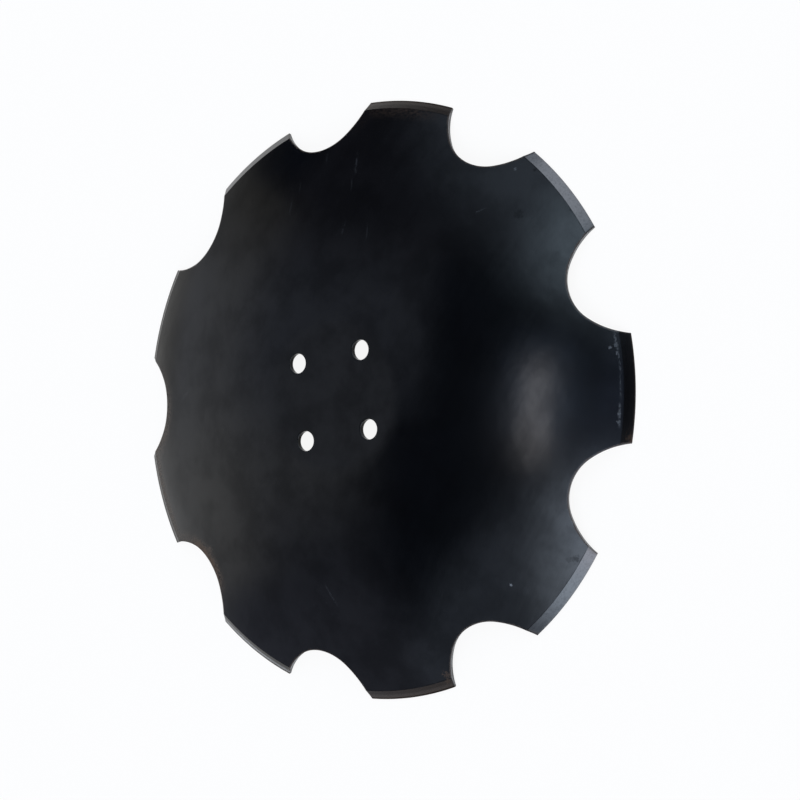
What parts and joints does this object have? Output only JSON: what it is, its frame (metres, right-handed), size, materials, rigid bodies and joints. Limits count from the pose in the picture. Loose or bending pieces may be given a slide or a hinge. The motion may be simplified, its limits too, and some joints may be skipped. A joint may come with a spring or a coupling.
{
  "type": "serrated plough disc",
  "caption": "Dished round soil-cutting blade with round rim notches, bevelled tooth tips and a flat bolted centre.",
  "frame": {"origin": "centre of the bolt circle on the convex face of the flat centre", "axes": "+Z along the disc axis, out of the convex face; +X through the middle of a notch"},
  "size_m": [0.6051, 0.61, 0.0653],
  "materials": {
    "black_lacquer": "thin black lacquer over rolled steel, satin gloss, worn to brown steel on the ground bevels"
  },
  "bodies": {
    "root": {"disc_blade": "black_lacquer"}
  },
  "joints": []
}
